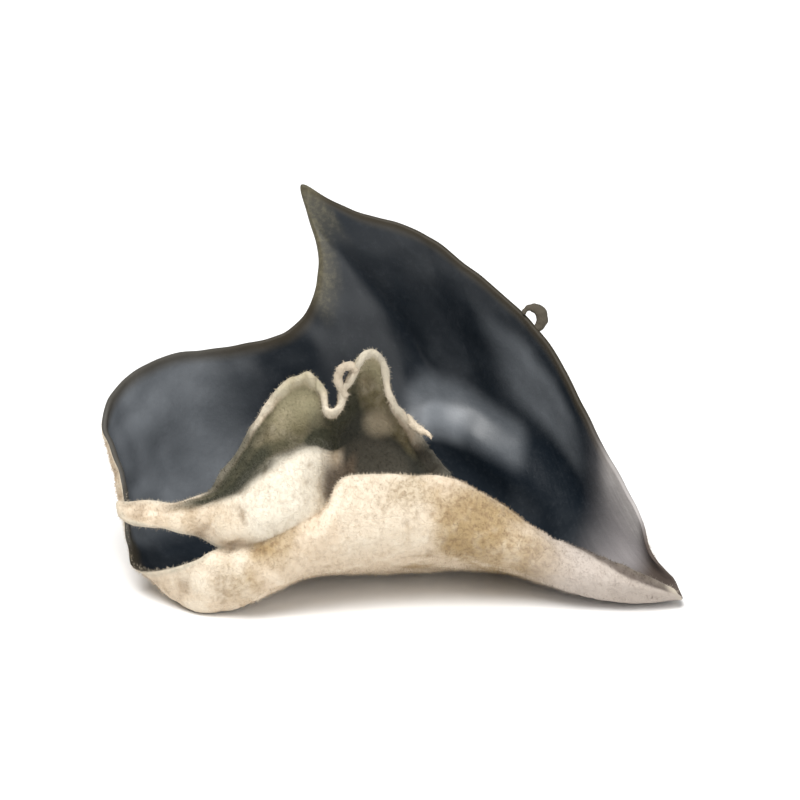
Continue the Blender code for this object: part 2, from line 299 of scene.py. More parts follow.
def outward(grid):
    """The direction out of the sheet at each point, on its downy side; an edge takes it from further in."""
    facing = unit(soften(unit(np.cross(np.gradient(grid, axis=0), np.gradient(grid, axis=1))),
                         FACING_SMOOTHING))
    rows, columns = (np.clip(np.arange(count), STEADY_EDGE, count - 1 - STEADY_EDGE)
                     for count in grid.shape[:2])
    return facing[rows][:, columns]


def facing_quads(grid):
    """The direction out of each of the grid's quads."""
    return np.cross(grid[1:, 1:] - grid[:-1, :-1], grid[:-1, 1:] - grid[1:, :-1])


def path_length(grid, axis):
    """The distance along the grid's lines from their start to each point."""
    steps = np.linalg.norm(np.diff(grid, axis=axis), axis=2)
    start = np.zeros((1, steps.shape[1]) if axis == 0 else (steps.shape[0], 1))
    return np.concatenate([start, np.cumsum(steps, axis=axis)], axis=axis)


def smooth_step(values):
    """0 below 0, 1 above 1, and smooth between."""
    values = np.clip(values, 0, 1)
    return values * values * (3 - 2 * values)


def ramp(values, start, end):
    """0 up to the start and 1 from the end on, whichever of the two is higher, and smooth between."""
    return smooth_step((values - start) / (end - start))


def bell(values, width):
    """1 at zero, falling away on both sides over about the width."""
    return np.exp(-(values / width) ** 2)


def lumps(points, size, seed):
    """Smooth noise from about -1 to 1 at the points, with lumps of about the given size."""
    places = (points / size + seed).reshape(-1, 3).tolist()
    return np.array([noise.noise(place) for place in places]).reshape(points.shape[:-1])


def uneven(kind, points):
    """How high a kind of unevenness stands at the points."""
    height, size, seed = kind
    return height * lumps(points, size, seed)


def ways_in(edge, distance):
    """Where each point is along an edge of the sheet and, shortened, how far in from it."""
    along_edge = np.broadcast_to(down_rows[:, edge][:, None], distance.shape)
    return np.stack([along_edge, distance / RIPPLE_STRETCH, np.zeros_like(distance)], axis=2)


def untangle(grid):
    """The grid with every place where it folds over itself smoothed out, and the rest as it was."""
    facing = unit(facing_quads(soften(middle, TANGLE_SMOOTHING)))
    for _ in range(TANGLE_PASSES):
        crossed = np.pad((unit(facing_quads(grid)) * facing).sum(2) < TANGLE_COSINE, 1)
        near = crossed[1:, 1:] | crossed[:-1, 1:] | crossed[1:, :-1] | crossed[:-1, :-1]
        grid = np.where(near[..., None], soften(grid, 1), grid)
    return grid


stations = row_stations()
middle = soften(across(np.stack([along(line, stations) for line in LINES], axis=1)), LINE_SMOOTHING)
normals = outward(middle)
down_rows = path_length(middle, 0)
down_columns = path_length(middle, 1)
from_rim = down_columns
from_front = down_columns[:, -1:] - down_columns
from_ends = np.minimum(down_rows, down_rows[-1:] - down_rows)
from_margin = np.minimum(np.minimum(from_rim, from_front), from_ends)
from_wall_line = down_columns - down_columns[:, COLUMNS["wall"]][:, None]
station_of = np.repeat(stations[:, None], middle.shape[1], axis=1)
line_of = [step + shares(line, count) for step, (line, count) in enumerate(COLUMNS.items())]
line_of = np.tile(np.append(np.concatenate(line_of), len(COLUMNS)), (len(stations), 1))
loose = 1 - TIP_STIFFNESS * ramp(station_of, *STIFF_TIP)
ruffle = ramp(line_of, *RUFFLE_LINES) * ramp(station_of, *RUFFLE_STATIONS)

# Folds, swells, wrinkles and rippled margins move the whole sheet; the curled tip keeps its shape
height, spacing, reach = WALL_FOLDS
wave = np.sin(2 * math.pi * station_of / spacing + np.sin(station_of))
relief = height * wave * smooth_step(1 - from_rim / reach) * np.sin(math.pi * station_of / stations[-1])
relief += uneven(SWELLS, middle)
relief += uneven(WRINKLES, middle)
relief += uneven(RUFFLE_WRINKLES, middle) * np.maximum(ruffle, ramp(station_of, *LEFT_END))
for kind in (LIP_RIPPLES, LIP_CREASES):
    relief += uneven(kind, ways_in(-1, from_front)) * np.exp(-from_front / LIP_RIPPLE_REACH)
relief += uneven(RIM_RIPPLES, ways_in(0, from_rim)) * np.exp(-from_rim / RIM_RIPPLE_REACH)
curl = LIP_CURL * ramp(station_of, *CURLED_LEFT) * ramp(station_of, *CURLED_RIGHT)
for place, (height, width) in LIP_CURLS.items():
    curl += height * bell(station_of - place, width)
relief += curl * smooth_step(1 - from_front / LIP_CURL_WIDTH) ** LIP_CURL_SHARPNESS
height, place, length, below, width = SHELF
relief += height * bell(station_of - place, length) * bell(from_wall_line - below, width)
sheet = middle + normals * (relief * loose)[..., None]

# The lines of the margins are uneven, and the rim has a thin point at its top
inwards = unit(np.gradient(middle, axis=1))
place, width, length = RIM_POINT
push = uneven(RIM_RAGGED, middle) - length * bell(station_of - place, width)
push *= np.exp(-from_rim / RAGGED_REACH)
dents = uneven(LIP_RAGGED, middle)
for place, (depth, width) in LIP_DENTS.items():
    dents -= depth * bell(station_of - place, width)
push += dents * np.exp(-from_front / RAGGED_REACH)
sheet = untangle(soften(sheet + inwards * (push * loose)[..., None], RELIEF_SMOOTHING))

# The attachment scar stands out of the downy side
offset = (sheet - SCAR_PLACE) * SCAR_STRETCH
from_scar = np.linalg.norm(offset, axis=2) / SCAR_RADIUS * (1 + uneven(SCAR_UNEVEN, middle))
scar = SCAR_HEIGHT * smooth_step((1 - from_scar) / (1 - SCAR_FLAT_TOP))
turn = np.arctan2(offset[..., 2], offset[..., 0] + offset[..., 1]) + uneven(SCAR_WANDER, middle)
height, number, share, width = SCAR_FOLDS
scar += height * np.cos(turn * number) * bell(from_scar - share, width)
torn = ramp(from_scar, *SCAR_TORN_SHARES)
scar += (uneven(SCAR_TORN, middle) - SCAR_SUNK) * torn
scar *= ramp(sheet[..., 2], *SCAR_HEIGHTS)

# The two skins
normals = outward(sheet)
half = (MARGIN_THICKNESS + (THICKNESS - MARGIN_THICKNESS) * smooth_step(from_margin / MARGIN_WIDTH)) / 2
half *= 1 - TIP_THINNING * ramp(station_of, *THIN_TIP)
half += LIP_BEAD * bell(from_front, LIP_BEAD_WIDTH) * ruffle
half *= 1 + uneven(LIP_UNEVEN, middle) * bell(from_front, LIP_UNEVEN_REACH) * ruffle
downy = (uneven(DOWN_LUMPS, middle) + uneven(DOWN_GRAINS, middle)) * smooth_step(from_margin)
outer = untangle(sheet + normals * (half + scar + downy)[..., None])
inner = untangle(sheet - normals * half[..., None])
outer[..., 2] = np.maximum(outer[..., 2], 0)

# Three small tags, where the margins tore and curled as they dried: a dark hook on the rim of the wall, a
# pale loop in the dip of the ruffle and a flick where its margin ends. Each is rooted at a station in the
# sheet's first or last column. Its points say how far it goes to the right, up and towards the camera, and
# its radius there
TAGS = [
    {"column": 0, "station": 9.75, "downy_side": 0.29, "hairy": 0,
     "points": [(0.25, -0.75, -0.08, 0.28), (0.85, -0.15, 0.0, 0.42), (1.0, 0.6, 0.0, 0.54),
                (0.62, 1.25, 0.05, 0.46), (0.0, 1.42, 0.1, 0.32), (-0.42, 1.2, 0.1, 0.22),
                (-0.58, 0.85, 0.1, 0.13)]},
    {"column": -1, "station": 4.2, "downy_side": 0.55, "hairy": 1,
     "points": [(0.2, -0.1, -0.1, 0.36), (-0.2, 0.65, 0.1, 0.36), (-0.42, 1.4, 0.25, 0.35),
                (-0.25, 2.1, 0.45, 0.36), (0.2, 2.5, 0.65, 0.37), (0.75, 2.5, 0.85, 0.36),
                (1.2, 2.2, 0.9, 0.36)]},
    {"column": -1, "station": 6.3, "downy_side": 0.9, "hairy": 1,
     "points": [(-0.25, 0.35, -0.1, 0.34), (0.3, -0.2, 0.15, 0.36), (0.8, -0.65, 0.4, 0.33),
                (1.3, -0.9, 0.6, 0.30), (1.7, -1.15, 0.75, 0.22), (1.95, -1.5, 0.75, 0.12)]},
]
TAG_AXES = np.array([(1, 0, 0), (0, 0.342, 0.940), (0, -0.940, 0.342)])  # right, up, towards the camera
TAG_FINISH = {"from_margin": 0.3, "line": 3, "hollow": 0.1, "torn": 0}   # what a tag's finish reads on it
TAG_SIDES = 14
TAG_STEPS = 40
TAG_FLATNESS = 0.75                   # its thickness, as a share of its width
TAG_ENDS = 0.6                        # how far its ends stand out, as a share of its radius
TAG_LUMPS = (0.11, 0.45, 14.2)        # share of its radius, size of lumps, seed


def hollows(skin, facing):
    """How far each point of a skin lies in a dimple of its relief: 1 in a hollow, -1 on a crest."""
    depth = ((soften(skin, HOLLOW_SMOOTHING) - skin) * facing).sum(2)
    depth -= ((soften(middle, HOLLOW_SMOOTHING) - middle) * facing).sum(2)
    return np.clip(depth / HOLLOW_DEPTH, -1, 1)


def quads(index):
    """The points at the four corners of each of the grid's quads, in turn round it."""
    return index[:-1, :-1], index[1:, :-1], index[1:, 1:], index[:-1, 1:]


def round_the_grid(grid):
    """The points of the grid's four edges, in one loop: rim, tip, front margin, left end."""
    return np.concatenate([grid[:-1, 0], grid[-1, :-1], grid[:0:-1, -1], grid[0, :0:-1]])


def edge_direction(grid):
    """The direction out of the sheet past its edge, at each point of that loop."""
    out = np.zeros_like(grid)
    out[:, 0] = grid[:, 0] - grid[:, 1]
    out[:, -1] = grid[:, -1] - grid[:, -2]
    out[0, 1:-1] = grid[0, 1:-1] - grid[1, 1:-1]
    out[-1, 1:-1] = grid[-1, 1:-1] - grid[-2, 1:-1]
    out = unit(round_the_grid(out))
    facing = round_the_grid(normals)
    return unit(out - facing * (out * facing).sum(1, keepdims=True))


def closed_sheet():
    """The sheet's points and faces as one closed mesh, and what its finish reads at each point."""
    count = outer.shape[0] * outer.shape[1]
    outer_index = np.arange(count).reshape(outer.shape[:2])
    inner_index = outer_index + count
    points = [outer.reshape(-1, 3), inner.reshape(-1, 3)]
    loops = [round_the_grid(outer_index)]
    edge = edge_direction(sheet)
    top, bottom = round_the_grid(outer), round_the_grid(inner)
    # the downy side wraps round the front margin and a little way in, the smooth side round the rim
    wrap = round_the_grid(line_of) / len(COLUMNS)
    wrapped = smooth_step((LIP_WRAP - from_front) / LIP_WRAP_EDGE + uneven(LIP_WRAP_UNEVEN, middle))
    wrapped *= ramp(line_of, *WRAPPED_LINES) * ramp(station_of, *WRAPPED_STATIONS)
    sides = [np.ones(count), wrapped.ravel()]
    for step in range(1, EDGE_STEPS):
        turn = math.pi * step / EDGE_STEPS
        reach = np.linalg.norm(top - bottom, axis=1, keepdims=True) / 2 * math.sin(turn)
        points.append((top + bottom) / 2 + (top - bottom) / 2 * math.cos(turn) + edge * reach)
        loops.append(2 * count + (step - 1) * len(wrap) + np.arange(len(wrap)))
        sides.append(np.clip(1 - step / EDGE_STEPS + EDGE_WRAP * (wrap - 0.5), 0, 1))
    loops.append(round_the_grid(inner_index))
    a, b, c, d = quads(inner_index)
    faces = [np.stack(quads(outer_index), 2), np.stack([a, d, c, b], 2)]
    for near, far in zip(loops, loops[1:]):
        faces.append(np.stack([near, far, np.roll(far, -1), np.roll(near, -1)], 1))
    faces = np.concatenate([block.reshape(-1, 4) for block in faces])

    def on_both(outside, inside):
        """A fact's values at every point: both skins and the edge between them."""
        rounds = [round_the_grid(outside)] * (EDGE_STEPS - 1)
        return np.concatenate([outside.ravel(), inside.ravel()] + rounds)

    hairy = smooth_step((outer[..., 2] - BALD_HEIGHT) / BALD_HEIGHT) * smooth_step(from_rim / BALD_RIM)
    hairy *= smooth_step((from_scar - SCAR_FLAT_TOP) * BALD_SCAR_STEEPNESS)
    facts = {
        "downy_side": np.concatenate(sides),
        "from_margin": on_both(from_margin, from_margin),
        "station": on_both(station_of, station_of),
        "line": on_both(line_of, line_of),
        "down_rows": on_both(down_rows, down_rows),
        "down_columns": on_both(down_columns, down_columns),
        "hollow": on_both(hollows(outer - normals * scar[..., None], normals), hollows(inner, -normals)),
        "torn": on_both(torn, torn),
        "hairy": on_both(hairy, wrapped),
    }
    return np.concatenate(points), faces, facts


def smooth_path(points):
    """Evenly spaced steps along a smooth curve through the points."""
    points = np.array(points, float)
    ends = np.concatenate([[2 * points[0] - points[1]], points, [2 * points[-1] - points[-2]]])
    steps = np.linspace(0, len(points) - 1, TAG_STEPS)
    span = np.minimum(steps.astype(int), len(points) - 2)
    t = (steps - span)[:, None]
    a, b, c, d = (ends[span + step] for step in range(4))
    return (2 * b + (c - a) * t + (2 * a - 5 * b + 4 * c - d) * t**2 + (3 * b - a - 3 * c + d) * t**3) / 2


def closed_tag(tag):
    """A tag's points and faces as one closed tube, and what its finish reads at each point."""
    path = smooth_path(tag["points"])
    spine = sheet[np.argmin(abs(stations - tag["station"])), tag["column"]] + path[:, :3] @ TAG_AXES
    ahead = unit(np.gradient(spine, axis=0))
    side = unit(np.cross(ahead, TAG_AXES[2]))
    turns = np.linspace(0, 2 * math.pi, TAG_SIDES, endpoint=False)[None, :, None]
    ring = np.cos(turns) * side[:, None] + np.sin(turns) * np.cross(ahead, side)[:, None] * TAG_FLATNESS
    tube = spine[:, None] + ring * path[:, 3, None, None]
    tube = tube + ring * uneven(TAG_LUMPS, tube)[..., None]
    ends = [spine[0] - ahead[0] * path[0, 3] * TAG_ENDS, spine[-1] + ahead[-1] * path[-1, 3] * TAG_ENDS]
    points = np.concatenate([tube.reshape(-1, 3), ends])
    index = np.arange(TAG_STEPS * TAG_SIDES).reshape(TAG_STEPS, TAG_SIDES)
    beside = np.roll(index, -1, axis=1)
    faces = np.stack([index[:-1], beside[:-1], beside[1:], index[1:]], 2).reshape(-1, 4).tolist()
    faces += [(far, near, len(points) - 2) for near, far in zip(index[0].tolist(), beside[0].tolist())]
    faces += [(near, far, len(points) - 1) for near, far in zip(index[-1].tolist(), beside[-1].tolist())]
    facts = {fact: np.full(len(points), float(value)) for fact, value in TAG_FINISH.items()}
    for fact in ("downy_side", "station", "hairy"):
        facts[fact] = np.full(len(points), float(tag[fact]))
    facts["down_rows"] = points[:, 0]
    facts["down_columns"] = points[:, 1]
    return points, faces, facts


def add_object(name, data):
    """A new object in the scene, from its mesh, light or camera data."""
    added = bpy.data.objects.new(name, data)
    bpy.context.scene.collection.objects.link(added)
    return added


def make_piece(name, points, faces, facts):
    """A piece from its points in metres, its faces and the values at its points that its finish reads."""
    mesh = bpy.data.meshes.new(name)
    mesh.from_pydata(points.tolist(), [], faces)
    for fact, values in facts.items():
        mesh.attributes.new(fact, "FLOAT", "POINT").data.foreach_set("value", values)
    mesh.shade_smooth()
    return add_object(name, mesh)


class Socket:
    """An output in a node tree. Sums on it add the nodes that work them out."""

    def __init__(self, tree, socket=None):
        self.tree = tree
        self.socket = socket

    def add(self, kind, settings=None, sockets=None, output=0):
        """Adds a node with its settings, then its sockets' values or links, and gives one output."""
        node = self.tree.nodes.new(kind)
        for name, value in (settings or {}).items():
            setattr(node, name, value)
        for name, value in (sockets or {}).items():
            if isinstance(value, Socket):
                self.tree.links.new(value.socket, node.inputs[name])
            else:
                node.inputs[name].default_value = value
        return Socket(self.tree, node.outputs[output] if node.outputs else None)

    def math(self, operation, first, second):
        return self.add("ShaderNodeMath", {"operation": operation}, {0: first, 1: second})

    def __add__(self, other):
        return self.math("ADD", self, other)

    __radd__ = __add__

    def __sub__(self, other):
        return self.math("SUBTRACT", self, other)

    def __rsub__(self, other):
        return self.math("SUBTRACT", other, self)

    def __mul__(self, other):
        return self.math("MULTIPLY", self, other)

    __rmul__ = __mul__

    def fact(self, name):
        """What the piece's points say under that name."""
        return self.add("ShaderNodeAttribute", {"attribute_name": name}, output="Fac")

    def step(self, low, high):
        """0 at low, 1 at high, and smooth between."""
        return self.add("ShaderNodeMapRange", {"interpolation_type": "SMOOTHSTEP"},
                        {"Value": self, "From Min": low, "From Max": high})

    def band(self, low, high, edge):
        """1 between low and high, and 0 outside them, over the edge's width."""
        return self.step(low - edge, low) * (1 - self.step(high, high + edge))

    def blend(self, first, second):
        """The first colour where this is 0, the second where it is 1."""
        colours = [colour if isinstance(colour, Socket) else (*colour, 1) for colour in (first, second)]
        return self.add("ShaderNodeMix", {"data_type": "RGBA"},
                        {"Factor": self, 6: colours[0], 7: colours[1]}, output=2)

    def scaled(self, amounts):
        """This place, stretched by the amounts along its three axes."""
        return self.add("ShaderNodeVectorMath", {"operation": "MULTIPLY"}, {0: self, 1: amounts})

    def grain(self, size, detail, roughness):
        """Noise from 0 to 1 over this place, with lumps of the given size in millimetres."""
        return self.add("ShaderNodeTexNoise", {}, {"Vector": self, "Scale": 1 / size, "Detail": detail,
                                                   "Roughness": roughness})

    def near(self, centre, reach):
        """1 at the centre and 0 from the reach on, with a soft edge."""
        gap = self.add("ShaderNodeVectorMath", {"operation": "DISTANCE"}, {0: self, 1: centre},
                       output="Value")
        return 1 - gap.step(reach * 0.3, reach)

    def veins(self, size, width):
        """1 on a net of wandering veins of the given size and width, 0 off them."""
        wander = self.add("ShaderNodeTexNoise", {}, {"Vector": self, "Scale": 1 / size, "Detail": 3},
                          output=1)
        wander = wander.add("ShaderNodeVectorMath", {"operation": "MULTIPLY_ADD"},
                            {0: wander, 1: (size, size, size), 2: self})
        gap = self.add("ShaderNodeTexVoronoi", {"feature": "DISTANCE_TO_EDGE"},
                       {"Vector": wander, "Scale": 1 / size})
        return 1 - gap.step(0, width / size)


# Colours of the downy side, among them its painted light and shade
CREAM = (0.63, 0.525, 0.40)
TAN = (0.36, 0.26, 0.135)
OCHRE = (0.36, 0.235, 0.10)
BROWN_GRAIN_AND_SHADE = (0.22, 0.145, 0.08)
CREST_HIGHLIGHT = (0.78, 0.71, 0.59)
FOLD_HIGHLIGHT = (0.71, 0.655, 0.55)
PALE_MARGIN_AND_RIM_LIGHT = (0.48, 0.43, 0.34)
OLIVE_FACE_SHADE = (0.115, 0.098, 0.050)
OLIVE_LIT = (0.31, 0.28, 0.175)
DARK_OLIVE_SHADE = (0.032, 0.032, 0.018)
HOLLOW_SHADE = (0.030, 0.030, 0.023)
CLEFT_SHADE = (0.115, 0.085, 0.058)
SCAR_BROWN = (0.105, 0.066, 0.036)
LIT_TAN_LOBE = (0.29, 0.245, 0.17)
TIP_FRONT = (0.40, 0.36, 0.34)
TIP_SHADE_BROWN = (0.070, 0.052, 0.042)    # painted shade on both sides of the tip

# Colours of the smooth side, among them its painted sheen
BLUE_BLACK = (0.0035, 0.0070, 0.0115)
BLOOM_AND_SHEEN = (0.150, 0.163, 0.178)
RIM_BROWN = (0.045, 0.036, 0.022)
DUSTY_OLIVE = (0.125, 0.112, 0.070)
TIP_GREY = (0.27, 0.25, 0.25)
TIP_PALE = (0.55, 0.52, 0.50)

# Grain of the downy side and of the smooth side: the size of its lumps, its detail and its roughness
PATCHES = (7.0, 3, 0.55)
MOTTLE = (1.7, 5, 0.6)
GRIT = (0.42, 3, 0.6)
FUZZ = (0.16, 2, 0.7)
CLOUDS = (5.0, 4, 0.55)
STREAKS = (2.6, 4, 0.55)
GRAINS = (0.5, 4, 0.65)
VEIN_SIZE = 1.6
VEIN_WIDTH = 0.07
VEIN_GROOVE = 0.12

# The lobe low on the face of the ruffle, painted lit tan: its place in the sheet's own millimetres and its
# reach
LIT_TAN_LOBE_PLACE = (-1.58, 6.6, 14.06)
LIT_TAN_LOBE_REACH = 1.9

# Tan patches on the roll and on the strand at its left: place, reach and how tan
TAN_PATCHES = {(6.6, -1.3, 7.6): (5.5, 0.95), (12.0, -1.2, 4.4): (3.5, 0.7), (-10.3, -3.6, 6.0): (2.5, 0.45),
               (-13.5, -3.0, 3.6): (3.5, 0.5), (-18.3, -0.9, 8.2): (3.0, 0.4)}


def new_finish(name):
    """A material with an empty node tree, where that starts, and the place on the piece in millimetres."""
    material = bpy.data.materials.new(name)
    material.use_nodes = True
    material.node_tree.nodes.clear()
    start = Socket(material.node_tree)
    return material, start, start.add("ShaderNodeTexCoord", output="Object").scaled((1 / MM,) * 3)


def downy_colour(start, place):
    """The colour of the downy side: cream with tan patches and a fine brown grain, with painted shade in its
    hollows, on the ruffle's face and in its grooves, and painted highlights on its crests, folds and margins.

    Its zones lie between stations, which go from 0 at the left end to 15 at the tip, and between lines, which
    go from 0 at the rim over the belly, the roll and the fold to 10 at the front margin.
    """
    station, line = start.fact("station"), start.fact("line")
    margin, hollow = start.fact("from_margin"), start.fact("hollow")
    mottle = place.grain(*MOTTLE)
    tan = place.grain(*PATCHES).step(0.46, 0.70) * 0.7
    # a painted highlight makes the upper fold the palest, then the top of the roll; the back is tanner than
    # the front
    fold = line.band(6.4, 8.3, 0.5) * station.step(0.7, 1.5) * (1 - station.step(3.2, 4.0))
    roll = line.band(4.0, 5.5, 0.6) * (station.band(4.7, 7.0, 0.7) + (1 - station.step(0.8, 1.4)))
    tan = tan * (1 - fold * 0.85)
    for centre, (reach, strength) in TAN_PATCHES.items():
        tan = tan + place.near(centre + shift, reach) * strength
    tan = tan + (1 - line.step(1.2, 3.2)) * 0.35
    tan = tan.step(0, 1.1)
    colour = (fold * 0.9 + roll * 0.33).blend(tan.blend(CREAM, TAN), FOLD_HIGHLIGHT)
    colour = (mottle.step(0.50, 0.78) * (0.25 + tan * 0.45)).blend(colour, OCHRE)
    colour = (place.grain(*GRIT).step(0.46, 0.64) * (0.16 + tan * 0.42)).blend(colour, BROWN_GRAIN_AND_SHADE)
    colour = (place.veins(VEIN_SIZE, VEIN_WIDTH) * tan * 0.25).blend(colour, BROWN_GRAIN_AND_SHADE)
    # painted shade darkens the hollows of the relief, and a painted highlight pales its crests
    colour = (hollow.step(0.0, 1.0) * 0.45).blend(colour, BROWN_GRAIN_AND_SHADE)
    colour = ((-1 * hollow).step(0.1, 1.0) * (0.45 - tan * 0.3)).blend(colour, CREST_HIGHLIGHT)
    colour = (station.step(9.2, 11.6) * 0.75).blend(colour, TIP_FRONT)
    # painted shade makes the ruffle's face olive, and dark below the dip and where it rises out of the groove
    # behind the roll
    face = line.step(8.0, 8.9) * station.band(1.0, 7.0, 0.7) * margin.step(0.3, 1.1)
    colour = (face * (0.80 + mottle.step(0.3, 0.6) * 0.18)).blend(colour, OLIVE_FACE_SHADE)
    foot = line.band(8.3, 9.0, 0.4) * station.band(1.0, 4.8, 0.6) + (1 - station.step(1.8, 2.4)) * face
    dip = line.band(8.4, 9.55, 0.25) * station.band(3.4, 4.6, 0.4)
    colour = ((foot * 0.65 + dip) * (0.75 + mottle.step(0.3, 0.6) * 0.25)).blend(colour, DARK_OLIVE_SHADE)
    # painted light on the peak of the ruffle's margin
    peak = line.step(9.45, 9.8) * station.band(4.8, 5.6, 0.3)
    colour = (peak * (0.4 + mottle * 0.6)).blend(colour, OLIVE_LIT)
    groove = line.band(6.3, 8.6, 0.6) * station.band(4.4, 7.8, 0.5)
    colour = (groove * 0.95).blend(colour, HOLLOW_SHADE)
    # painted light: the lobe low on the ruffle's face catches it and is lit tan
    colour = (place.near(LIT_TAN_LOBE_PLACE + shift, LIT_TAN_LOBE_REACH) * 0.9).blend(colour, LIT_TAN_LOBE)
    # painted shade in the cleft between the upper fold and the roll
    cleft = line.band(6.0, 7.4, 0.5) * station.band(3.6, 4.6, 0.4)
    colour = (cleft * 0.85).blend(colour, CLEFT_SHADE)
    # the margin is pale, partly in its own colour and partly as painted rim light
    edge = (1 - margin.step(0.1, 0.7)) * (0.35 + mottle.step(0.35, 0.6) * 0.5 + peak * 0.35)
    colour = edge.blend(colour, PALE_MARGIN_AND_RIM_LIGHT)
    # painted light makes the left lobe of the ruffle yellowish up to its very margin, and painted shade makes
    # it further left as dark as its foot
    lit = line.step(9.15, 9.7) * station.band(2.5, 3.4, 0.5)
    colour = (lit * (0.35 + mottle * 0.5)).blend(colour, OLIVE_LIT)
    left = line.step(8.9, 9.4) * station.band(1.15, 1.6, 0.35)
    colour = (left * (0.6 + mottle * 0.4)).blend(colour, DARK_OLIVE_SHADE)
    # painted shade darkens the margin where the ruffle ends, and behind the front near the tip
    dark = line.step(7.2, 8.2) * station.band(6.75, 9.0, 0.35)
    colour = (dark * 0.92).blend(colour, HOLLOW_SHADE)
    tip_shade = line.step(7.0, 8.0) * station.band(11.2, 14.4, 0.5)
    colour = (tip_shade * (0.5 + mottle * 0.6)).blend(colour, TIP_SHADE_BROWN)
    return (start.fact("torn") * (0.15 + mottle.step(0.38, 0.58) * 0.75)).blend(colour, SCAR_BROWN)


def ear_tissue():
    """Dry tissue: matt down outside and a smooth dark skin with a dull shine inside."""
    material, start, place = new_finish("ear_tissue")
    station, line, margin = start.fact("station"), start.fact("line"), start.fact("from_margin")
    on_sheet = start.add("ShaderNodeCombineXYZ", {},
                         {0: start.fact("down_rows"), 1: start.fact("down_columns")})

    height = place.grain(*FUZZ) * 0.05 + place.grain(*GRIT) * 0.12 + place.grain(*MOTTLE) * 0.15
    height = height - place.veins(VEIN_SIZE, VEIN_GROOVE) * 0.02
    bump = start.add("ShaderNodeBump", {}, {"Strength": 1.0, "Distance": MM, "Height": height})
    down = start.add("ShaderNodeBsdfPrincipled", {}, {
        "Base Color": downy_colour(start, place), "Roughness": 0.92, "Normal": bump, "Sheen Weight": 0.12,
        "Sheen Roughness": 0.5, "Sheen Tint": (0.95, 0.88, 0.78, 1), "Specular IOR Level": 0.25})

    streaks = on_sheet.scaled((1, 0.4, 1)).grain(*STREAKS)
    clouds = place.grain(*CLOUDS)
    grains = place.grain(*GRAINS)
    # a grey bloom in thin clouds, and painted sheen with it: a painted highlight along the foot of the wall,
    # strongest near its middle, and painted light by the rim's right and at the left
    bloom_and_sheen = clouds.step(0.45, 0.80) * 0.11 + streaks.step(0.50, 0.80) * 0.05 + grains.step(0.50, 0.75) * 0.05
    bloom_and_sheen = bloom_and_sheen + station.band(5.4, 8.9, 0.6) * line.band(0.98, 1.18, 0.16) * (0.28 + clouds * 0.38)
    bloom_and_sheen = bloom_and_sheen + station.band(5.9, 7.1, 0.6) * line.band(1.12, 1.26, 0.08) * 0.5
    bloom_and_sheen = bloom_and_sheen + station.band(9.3, 10.4, 0.9) * line.band(0.36, 0.62, 0.24) * (0.35 + clouds * 0.6)
    bloom_and_sheen = bloom_and_sheen + (1 - station.step(2.2, 3.2)) * (1 - line.step(1.0, 1.7)) * (0.35 + clouds * 0.60)
    dark = bloom_and_sheen.blend(BLUE_BLACK, BLOOM_AND_SHEEN)
    dark = ((1 - margin.step(0.1, 1.2)) * 0.75).blend(dark, RIM_BROWN)
    dusty = station.band(4.6, 6.2, 0.4) * (1 - line.step(0.02, 0.25)) * (0.4 + grains.step(0.4, 0.7) * 0.5)
    dark = dusty.blend(dark, DUSTY_OLIVE)
    dark = (station.step(11.0, 12.9) * (0.6 + streaks * 0.5)).blend(dark, TIP_GREY)
    # the tip is palest along its rim, and painted shade darkens its very end
    dark = (station.band(12.0, 12.9, 0.5) * (1 - line.step(0.2, 0.9)) * clouds * 0.8).blend(dark, TIP_PALE)
    dark = (station.step(12.9, 13.9) * 0.95).blend(dark, TIP_SHADE_BROWN)
    height = streaks * 0.03 + clouds * 0.12 + grains * 0.035
    bump = start.add("ShaderNodeBump", {}, {"Strength": 1.0, "Distance": MM, "Height": height})
    # the wall shines; the groove at its foot and the floor of the bowl are matt
    shine = 1 - (line + station.step(7.6, 10.2) * 0.55).step(1.26, 1.45)
    roughness = 0.42 + grains * 0.16 + line.band(1.6, 3.4, 0.4) * 0.3
    smooth = start.add("ShaderNodeBsdfPrincipled", {}, {
        "Base Color": dark, "Roughness": roughness, "Normal": bump, "Specular IOR Level": 0.16,
        "Coat Weight": shine * margin.step(0, 0.6) * 0.8, "Coat Roughness": 0.34, "Coat IOR": 1.45})

    downy_side = start.fact("downy_side").step(0.2, 0.7)
    both = start.add("ShaderNodeMixShader", {}, {0: downy_side, 1: smooth, 2: down})
    start.add("ShaderNodeOutputMaterial", {}, {"Surface": both})
    return material


points, faces, facts = closed_sheet()
faces = faces.tolist()
# from the sheet's own place to the CAD node's: the middles of their boxes meet, and both lie on the table
low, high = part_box("fruit_body")
shift = np.array((low + high) / 2) / MM - (points.min(0) + points.max(0)) / 2
shift[2] = 0
for tag in TAGS:
    more_points, more_faces, more_facts = closed_tag(tag)
    faces += [[corner + len(points) for corner in face] for face in more_faces]
    points = np.concatenate([points, more_points])
    facts = {name: np.concatenate([values, more_facts[name]]) for name, values in facts.items()}
wood_ear = make_piece("wood_ear", (points + shift) * MM, faces, facts)
wood_ear.data.materials.append(ear_tissue())
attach(wood_ear, "root")
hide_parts("fruit_body")

# ---------------------------------------------------------------------------------------------------------
# The down on the outside: short stiff hairs, a quarter of a millimetre long, that stand out of the tissue
# all over it except on the attachment scar and where the ear rests.

HAIRS_PER_SQUARE_MM = 26.0
HAIR_LENGTH = 0.24 * MM
HAIR_WIDTH = 0.035 * MM
HAIR_SIZES = (0.5, 1.4)               # the smallest and the largest hair, as shares of that length and width
HAIR_TILT = math.radians(38)
HAIR_SEED = 7


def ear_down():
    """The finish of the hairs: the colour of the tissue that they stand on, with its painted light and shade.
    """
    material, start, place = new_finish("ear_down")
    hair = start.add("ShaderNodeBsdfPrincipled", {}, {
        "Base Color": downy_colour(start, place), "Roughness": 0.8, "Specular IOR Level": 0.3})
    start.add("ShaderNodeOutputMaterial", {}, {"Surface": hair})
    return material


